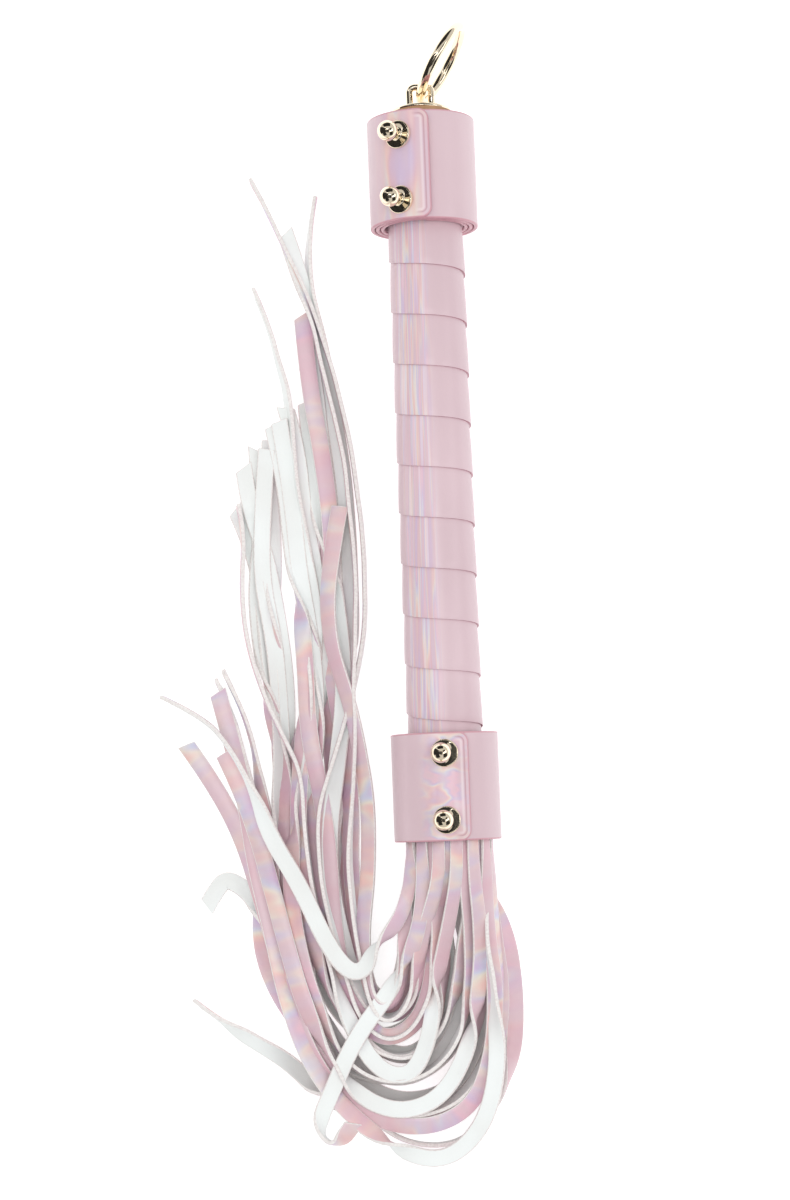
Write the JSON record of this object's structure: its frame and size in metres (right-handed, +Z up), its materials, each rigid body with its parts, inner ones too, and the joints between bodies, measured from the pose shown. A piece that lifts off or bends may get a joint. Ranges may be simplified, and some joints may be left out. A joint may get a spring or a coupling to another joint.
{
  "type": "multi-tail riding whip",
  "caption": "Short-handled whip with a wound leather grip, two studded strap collars, a hanging ring and a bundle of flat leather tails.",
  "frame": {"origin": "on the table under the middle of the handle and its ring, measured without the tails", "axes": "+Y along the handle to its ring end, +Z up from the table, +X to the right of the handle seen from above with the ring end away"},
  "size_m": [0.1023, 0.3297, 0.0404],
  "materials": {
    "pink_leather": "satin, pearl sheen",
    "gold": "polished",
    "wood": "raw",
    "steel": "plain"
  },
  "bodies": {
    "whip": {"handle_core": "wood", "grip_wrap": "pink_leather", "tail_root_band": "pink_leather", "band_brads": "steel", "top_collar": "pink_leather", "lower_collar": "pink_leather", "top_collar_studs": "gold", "lower_collar_studs": "gold", "top_stud_screws": "steel", "lower_stud_screws": "steel", "end_plate": "gold", "ring_staple": "gold", "tail_01": "pink_leather", "tail_02": "pink_leather", "tail_03": "pink_leather", "tail_04": "pink_leather", "tail_05": "pink_leather", "tail_06": "pink_leather", "tail_07": "pink_leather", "tail_08": "pink_leather", "tail_09": "pink_leather", "tail_10": "pink_leather", "tail_11": "pink_leather", "tail_12": "pink_leather", "tail_13": "pink_leather", "tail_14": "pink_leather", "tail_15": "pink_leather", "tail_16": "pink_leather", "tail_17": "pink_leather", "tail_18": "pink_leather", "tail_19": "pink_leather", "tail_20": "pink_leather", "tail_21": "pink_leather", "tail_22": "pink_leather", "tail_23": "pink_leather", "tail_24": "pink_leather", "tail_25": "pink_leather", "tail_26": "pink_leather", "tail_27": "pink_leather"},
    "ring": {"hanging_ring": "gold"}
  },
  "joints": [
    {"name": "ring_swing", "type": "hinge", "parent": "whip", "child": "ring", "pos_m": [0, 0.09741, 0.01528], "axis": [0.0899, 0.1384, 0.9863], "range_deg": [-50, 116]}
  ]
}
